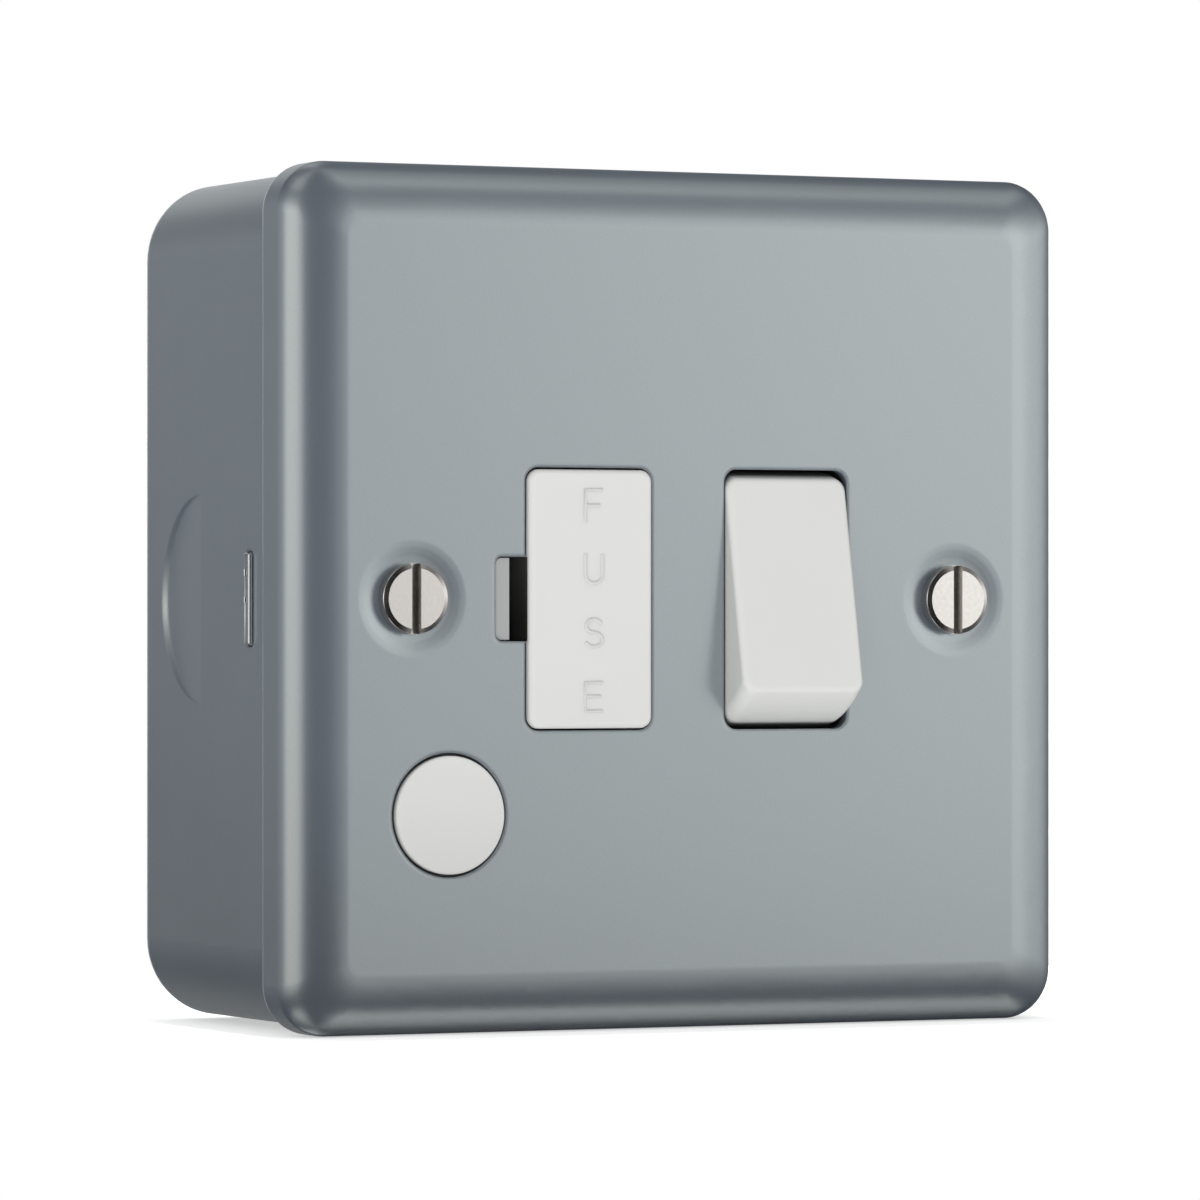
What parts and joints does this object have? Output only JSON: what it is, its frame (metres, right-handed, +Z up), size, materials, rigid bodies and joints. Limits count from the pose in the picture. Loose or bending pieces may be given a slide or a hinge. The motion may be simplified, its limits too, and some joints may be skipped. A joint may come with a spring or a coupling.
{
  "type": "fused spur unit",
  "caption": "Square steel box and front plate with a rocker switch, a pull-out fuse carrier with a pry notch, a blanked cord outlet and the contacts and terminals inside.",
  "frame": {"origin": "centre of the box's back face, on the wall", "axes": "+Y into the wall, +Z up, +X to the right seen from the front; the front plate faces -Y"},
  "size_m": [0.086, 0.0449, 0.086],
  "materials": {
    "grey_powder_coat": "satin grey powder coat on pressed steel",
    "white_moulding": "smooth white moulding",
    "grey_moulding": "plain light grey moulding",
    "zinc_steel": "bright zinc plated steel",
    "nickel": "bright nickel plate",
    "brass": "turned and pressed brass",
    "bronze": "sprung bronze strip",
    "silver": "bright contact metal",
    "spring_steel": "spring wire",
    "fuse_ceramic": "glazed ceramic tube"
  },
  "bodies": {
    "case": {"back_box": "grey_powder_coat", "lug_left": "grey_powder_coat", "lug_right": "grey_powder_coat", "box_earth_tab": "zinc_steel", "box_earth_screw": "brass", "front_plate": "grey_powder_coat", "plate_screw_left": "nickel", "plate_screw_right": "nickel", "module_front": "grey_moulding", "module_base": "grey_moulding", "base_screws": "zinc_steel", "retaining_nuts": "zinc_steel", "earth_strap": "brass", "terminal_screws": "brass", "fixed_tips": "silver", "fixed_contact_live": "brass", "fixed_contact_neutral": "brass", "fulcrum_live": "brass", "fulcrum_neutral": "brass", "fuse_clip_top": "bronze", "fuse_clip_bottom": "bronze", "blanking_plug": "white_moulding", "cord_grip_bar": "white_moulding", "cord_grip_screws": "zinc_steel", "earth_terminal_left": "brass", "earth_terminal_right": "brass", "feed_live_terminal": "brass", "feed_neutral_terminal": "brass", "load_live_terminal": "brass", "load_neutral_terminal": "brass"},
    "switch_rocker": {"rocker": "white_moulding", "plunger_live": "white_moulding", "plunger_neutral": "white_moulding", "plunger_spring_live": "spring_steel", "plunger_spring_neutral": "spring_steel"},
    "live_contact": {"contact_lever_live": "brass", "moving_tip_live": "silver"},
    "neutral_contact": {"contact_lever_neutral": "brass", "moving_tip_neutral": "silver"},
    "fuse_drawer": {"fuse_carrier": "white_moulding", "fuse_tube": "fuse_ceramic", "fuse_cap_top": "nickel", "fuse_cap_bottom": "nickel"}
  },
  "joints": [
    {"name": "rocker_pivot", "type": "hinge", "parent": "case", "child": "switch_rocker", "pos_m": [0.011, -0.0355, 0], "axis": [1, 0, 0], "range_deg": [0, 23]},
    {"name": "live_contact_pivot", "type": "hinge", "parent": "case", "child": "live_contact", "pos_m": [0.0074, -0.0231, 0], "axis": [1, 0, 0], "range_deg": [-16.1, 0]},
    {"name": "neutral_contact_pivot", "type": "hinge", "parent": "case", "child": "neutral_contact", "pos_m": [0.0146, -0.0231, 0], "axis": [1, 0, 0], "range_deg": [-16.1, 0]},
    {"name": "fuse_carrier_slide", "type": "slide", "parent": "case", "child": "fuse_drawer", "axis": [0, -1, 0], "range_m": [0, 0.016]}
  ],
  "couplings": [
    {"joint": "live_contact_pivot", "follows": "rocker_pivot", "ratio": -0.7},
    {"joint": "neutral_contact_pivot", "follows": "rocker_pivot", "ratio": -0.7}
  ]
}
